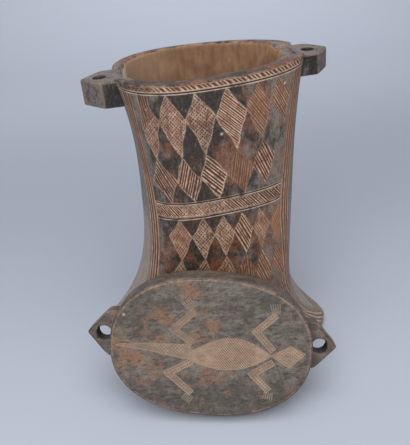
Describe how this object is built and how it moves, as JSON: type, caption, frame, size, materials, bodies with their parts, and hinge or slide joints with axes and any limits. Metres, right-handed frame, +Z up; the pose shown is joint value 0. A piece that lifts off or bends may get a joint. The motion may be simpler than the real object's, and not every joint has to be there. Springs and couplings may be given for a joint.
{
  "type": "carved cosmetic box",
  "caption": "Carved wooden box with a waisted oval body on a flared foot, pierced lugs at its mouth and a loose lid that stands against its front.",
  "frame": {"origin": "middle of the foot's underside, on the surface that the box stands on", "axes": "+Z up, the front that the lid leans on looks along -Y, +X to the right as seen from the front"},
  "size_m": [0.2049, 0.1875, 0.2435],
  "materials": {
    "body_wood": "hand-carved, dark patina worn to tan on the raised pattern",
    "lid_wood": "hand-carved, dark grey-brown patina worn to tan at the edge"
  },
  "bodies": {
    "box": {"box_body": "body_wood"},
    "lid": {"lid": "lid_wood"}
  },
  "joints": [
    {"name": "lid_lift", "type": "slide", "parent": "box", "child": "lid", "axis": [-0.1954, -0.9192, 0.342], "range_m": [0, 0.15]}
  ]
}
